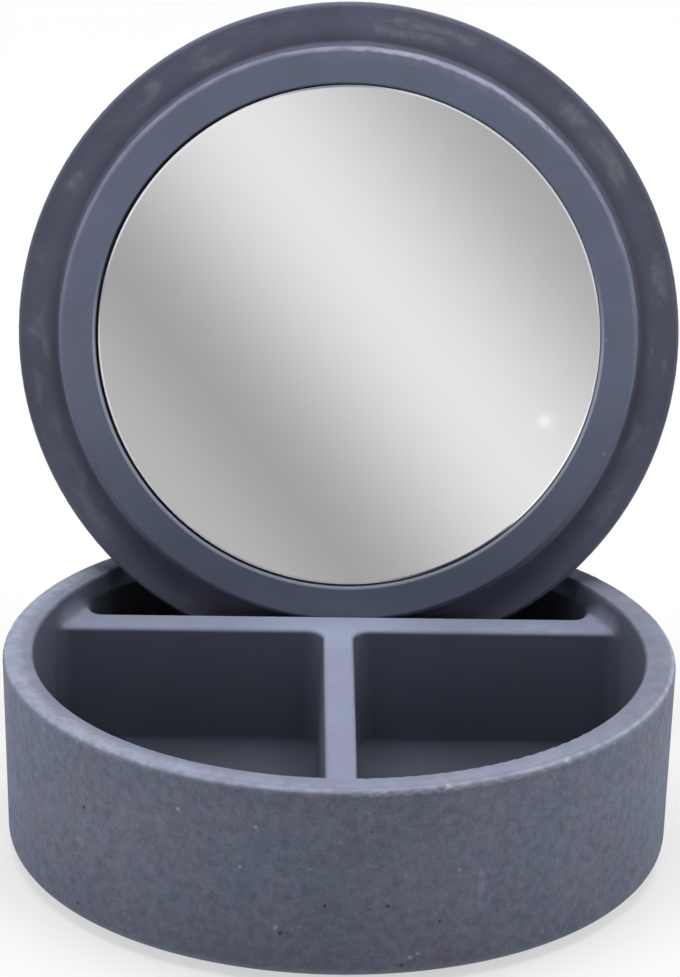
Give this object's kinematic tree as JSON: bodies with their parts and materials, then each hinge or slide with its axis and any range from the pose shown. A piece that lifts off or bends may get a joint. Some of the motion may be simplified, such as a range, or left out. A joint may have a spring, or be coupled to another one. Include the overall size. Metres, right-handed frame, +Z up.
{
  "type": "cosmetic box",
  "caption": "Round concrete cosmetic box: a divided tray and a loose lid with a mirror in its inner face, stood up in the rear compartment.",
  "frame": {"origin": "middle of the underside of the pad that the box stands on", "axes": "+Z up, -Y to the front of the box, where the mirror faces, +X to the right seen from the front"},
  "size_m": [0.1824, 0.1827, 0.2105],
  "materials": {
    "concrete": "cast, sealed, matt",
    "concrete_lid": "cast, sealed, matt",
    "pad": "matt foam",
    "mirror": "silvered",
    "adhesive": "acrylic foam tape"
  },
  "bodies": {
    "tray": {"base_tray": "concrete", "base_pad": "pad"},
    "lid_with_mirror": {"lid": "concrete_lid", "mirror_glass": "mirror", "mirror_adhesive_1": "adhesive", "mirror_adhesive_2": "adhesive", "mirror_adhesive_3": "adhesive", "mirror_adhesive_4": "adhesive"}
  },
  "joints": [
    {"name": "lid_lift", "type": "slide", "parent": "tray", "child": "lid_with_mirror", "axis": [0.0069, 0.2333, 0.9724], "range_m": [0, 0.06]}
  ]
}
